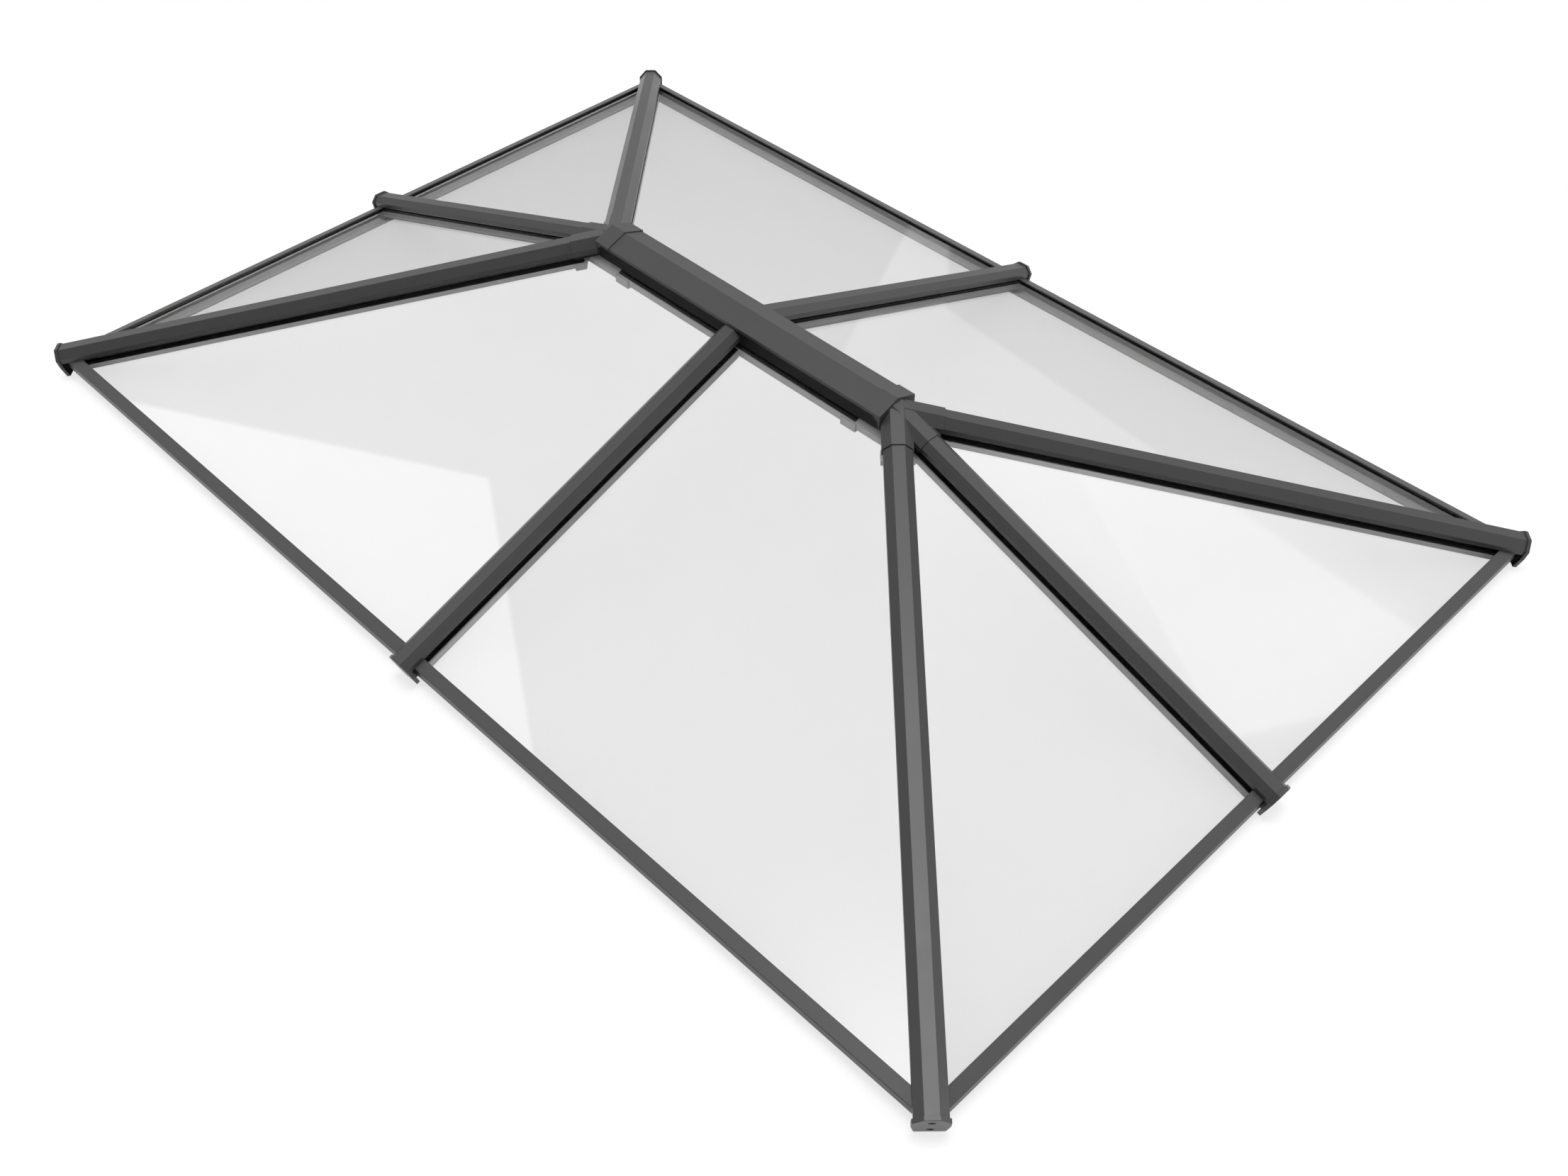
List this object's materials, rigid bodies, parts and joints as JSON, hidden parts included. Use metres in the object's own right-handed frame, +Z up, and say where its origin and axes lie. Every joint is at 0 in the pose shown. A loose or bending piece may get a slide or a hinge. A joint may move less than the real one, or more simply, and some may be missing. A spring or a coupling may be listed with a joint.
{
  "type": "roof lantern",
  "caption": "Hipped glass roof lantern with a short ridge, grey aluminium rafter caps with octagonal ends, hub covers and eaves retainers, for a flat roof's kerb.",
  "frame": {"origin": "centre of the opening, in the plane of the eaves beams' underside where they sit on the kerb", "axes": "+X along the ridge, +Y across it, +Z up"},
  "size_m": [3.145, 2.1454, 0.4747],
  "materials": {
    "powder_coat": "satin anthracite powder coat",
    "mill_aluminium": "mill",
    "glass": "clear double-glazed unit",
    "black_rubber": "matt EPDM",
    "black_plastic": "matt moulding"
  },
  "bodies": {
    "root": {"eaves_beam_back": "powder_coat", "eaves_beam_front": "powder_coat", "eaves_beam_left": "powder_coat", "eaves_beam_right": "powder_coat", "edge_tapes": "black_rubber", "end_blocks": "black_plastic", "glass_back_left": "glass", "glass_back_right": "glass", "glass_front_left": "glass", "glass_front_right": "glass", "glass_left_back": "glass", "glass_left_front": "glass", "glass_right_back": "glass", "glass_right_front": "glass", "glazing_seals": "black_rubber", "hip_cap_back_left": "powder_coat", "hip_cap_back_right": "powder_coat", "hip_cap_front_left": "powder_coat", "hip_cap_front_right": "powder_coat", "hip_end_caps": "powder_coat", "hip_rafter_back_left": "powder_coat", "hip_rafter_back_right": "powder_coat", "hip_rafter_front_left": "powder_coat", "hip_rafter_front_right": "powder_coat", "hub_block_left": "powder_coat", "hub_block_right": "powder_coat", "hub_cover_left": "powder_coat", "hub_cover_right": "powder_coat", "hub_seals": "black_rubber", "pressure_bars": "mill_aluminium", "rafter_back": "powder_coat", "rafter_bed_tapes": "black_rubber", "rafter_cap_back": "powder_coat", "rafter_cap_front": "powder_coat", "rafter_cap_left": "powder_coat", "rafter_cap_right": "powder_coat", "rafter_end_caps": "powder_coat", "rafter_front": "powder_coat", "rafter_left": "powder_coat", "rafter_right": "powder_coat", "retainer_back": "powder_coat", "retainer_front": "powder_coat", "retainer_left": "powder_coat", "retainer_right": "powder_coat", "ridge_beam": "powder_coat", "ridge_cap": "powder_coat", "ridge_hood_left": "powder_coat", "ridge_hood_right": "powder_coat", "ridge_seals": "black_rubber"}
  },
  "joints": []
}
